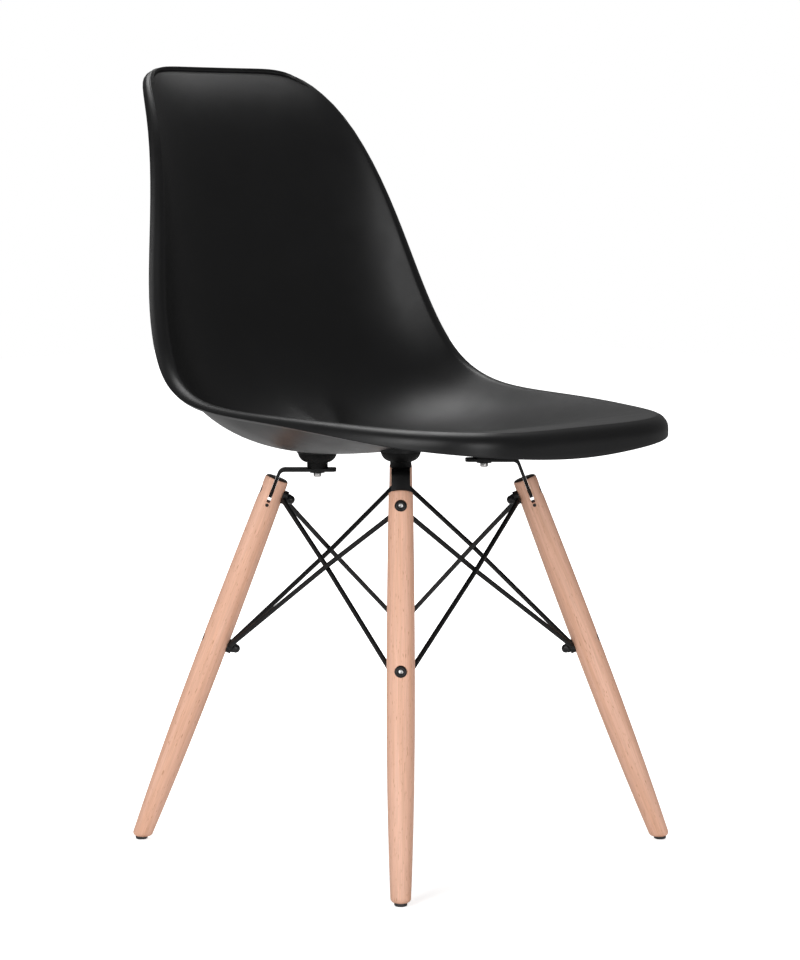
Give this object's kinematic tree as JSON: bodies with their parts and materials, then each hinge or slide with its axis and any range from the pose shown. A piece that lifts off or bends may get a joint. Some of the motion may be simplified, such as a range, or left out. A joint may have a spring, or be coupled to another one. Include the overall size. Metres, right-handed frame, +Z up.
{
  "type": "side chair",
  "caption": "Side chair with a moulded plastic shell, waterfall front and waisted back, on splayed tapered wooden legs tied by crossed wire rods.",
  "frame": {"origin": "middle of the chair's width and depth, at floor level", "axes": "+Z up, +X towards the sitter's left, the sitter faces -Y"},
  "size_m": [0.4504, 0.5628, 0.8233],
  "materials": {
    "shell": "fine matte moulding texture",
    "wood": "pale beech, clear satin lacquer",
    "black_steel": "black powder coat",
    "black_fastener": "black oxide",
    "dark_steel": "dark oiled steel",
    "steel": "bare zinc-plated steel",
    "brass": "plain",
    "rubber": "matte black rubber",
    "glide": "dark grey nylon"
  },
  "bodies": {
    "root": {"bracket_front_left": "black_steel", "bracket_front_right": "black_steel", "bracket_rear_left": "black_steel", "bracket_rear_right": "black_steel", "glide_front_left": "glide", "glide_front_right": "glide", "glide_nails": "steel", "glide_rear_left": "glide", "glide_rear_right": "glide", "leg_front_left": "wood", "leg_front_right": "wood", "leg_rear_left": "wood", "leg_rear_right": "wood", "lower_cap_nuts": "black_fastener", "lower_leg_bolts": "black_fastener", "lug_lower_front_left": "black_steel", "lug_lower_front_right": "black_steel", "lug_lower_rear_left": "black_steel", "lug_lower_rear_right": "black_steel", "lug_upper_front_left": "black_steel", "lug_upper_front_right": "black_steel", "lug_upper_rear_left": "black_steel", "lug_upper_rear_right": "black_steel", "mount_screws": "steel", "mount_washers": "black_steel", "rod_front_left_to_front_right": "black_steel", "rod_front_left_to_rear_left": "black_steel", "rod_front_right_to_front_left": "black_steel", "rod_front_right_to_rear_right": "black_steel", "rod_rear_left_to_front_left": "black_steel", "rod_rear_left_to_rear_right": "black_steel", "rod_rear_right_to_front_right": "black_steel", "rod_rear_right_to_rear_left": "black_steel", "seat_shell": "shell", "shock_mount_front_left": "rubber", "shock_mount_front_right": "rubber", "shock_mount_rear_left": "rubber", "shock_mount_rear_right": "rubber", "split_stop_pins": "dark_steel", "threaded_inserts": "brass", "upper_cap_nuts": "black_fastener", "upper_leg_bolts": "black_fastener"}
  },
  "joints": []
}
